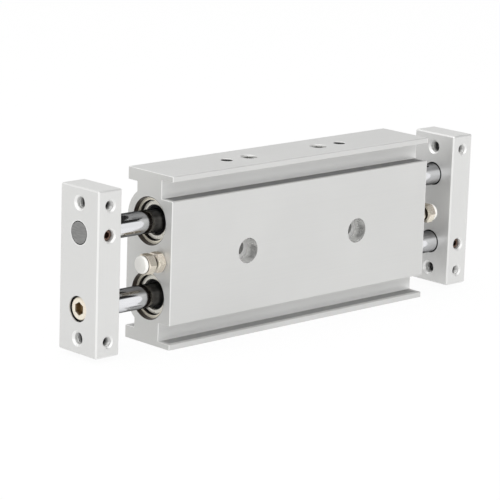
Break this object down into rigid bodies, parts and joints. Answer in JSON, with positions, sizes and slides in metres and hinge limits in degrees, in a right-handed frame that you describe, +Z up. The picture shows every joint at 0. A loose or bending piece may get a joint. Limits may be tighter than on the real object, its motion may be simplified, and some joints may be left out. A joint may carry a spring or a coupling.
{
  "type": "guided pneumatic cylinder",
  "caption": "Twin-rod guided pneumatic cylinder: a flat extruded aluminium body with parallel through rods that carry an end plate on each side, and adjustable rubber-faced stops.",
  "frame": {"origin": "centre of the body's bottom face", "axes": "+X along the rods, +Y from the counterbored front face to the rear face, +Z up through the two cylinders"},
  "size_m": [0.224, 0.028, 0.074],
  "materials": {
    "body_aluminium": "satin anodised extrusion, machined ends",
    "plate_aluminium": "satin anodised, bevelled edges",
    "cover_aluminium": "fine turned",
    "rod_chrome": "hard chrome, ground; dull cut ends",
    "zinc_plate": "pale yellow zinc plate",
    "set_screw_steel": "dark passivated steel",
    "plug_steel": "bright nickel plate",
    "clip_steel": "spring steel",
    "bush_bronze": "sintered, oiled",
    "seal_rubber": "black nitrile",
    "buffer_urethane": "amber urethane",
    "tip_urethane": "white cast urethane",
    "magnet_ferrite": "bonded ferrite",
    "wear_plastic": "filled plastic"
  },
  "bodies": {
    "housing": {"body": "body_aluminium", "port_plugs": "plug_steel", "retaining_ring_left_upper": "zinc_plate", "rod_cover_left_upper": "cover_aluminium", "rod_seal_left_upper": "seal_rubber", "guide_bush_left_upper": "bush_bronze", "cover_oring_left_upper": "seal_rubber", "buffer_ring_left_upper": "buffer_urethane", "retaining_ring_right_upper": "zinc_plate", "rod_cover_right_upper": "cover_aluminium", "rod_seal_right_upper": "seal_rubber", "guide_bush_right_upper": "bush_bronze", "cover_oring_right_upper": "seal_rubber", "buffer_ring_right_upper": "buffer_urethane", "retaining_ring_left_lower": "zinc_plate", "rod_cover_left_lower": "cover_aluminium", "rod_seal_left_lower": "seal_rubber", "guide_bush_left_lower": "bush_bronze", "cover_oring_left_lower": "seal_rubber", "buffer_ring_left_lower": "buffer_urethane", "retaining_ring_right_lower": "zinc_plate", "rod_cover_right_lower": "cover_aluminium", "rod_seal_right_lower": "seal_rubber", "guide_bush_right_lower": "bush_bronze", "cover_oring_right_lower": "seal_rubber", "buffer_ring_right_lower": "buffer_urethane", "stop_bolt_left": "zinc_plate", "lock_nut_left": "zinc_plate", "stop_tip_left": "tip_urethane", "stop_bolt_right": "zinc_plate", "lock_nut_right": "zinc_plate", "stop_tip_right": "tip_urethane"},
    "slider": {"piston_rod_upper": "rod_chrome", "piston_upper": "cover_aluminium", "piston_seals_upper": "seal_rubber", "piston_magnet_upper": "magnet_ferrite", "wear_ring_upper": "wear_plastic", "piston_clips_upper": "clip_steel", "piston_rod_lower": "rod_chrome", "piston_lower": "cover_aluminium", "piston_seals_lower": "seal_rubber", "piston_magnet_lower": "magnet_ferrite", "wear_ring_lower": "wear_plastic", "piston_clips_lower": "clip_steel", "end_plate_left": "plate_aluminium", "cap_screw_left": "zinc_plate", "set_screw_left": "set_screw_steel", "end_plate_right": "plate_aluminium", "cap_screw_right": "zinc_plate", "set_screw_right": "set_screw_steel"}
  },
  "joints": [
    {"name": "slider_travel", "type": "slide", "parent": "housing", "child": "slider", "axis": [1, 0, 0], "range_m": [-0.00695, 0.01445]}
  ]
}
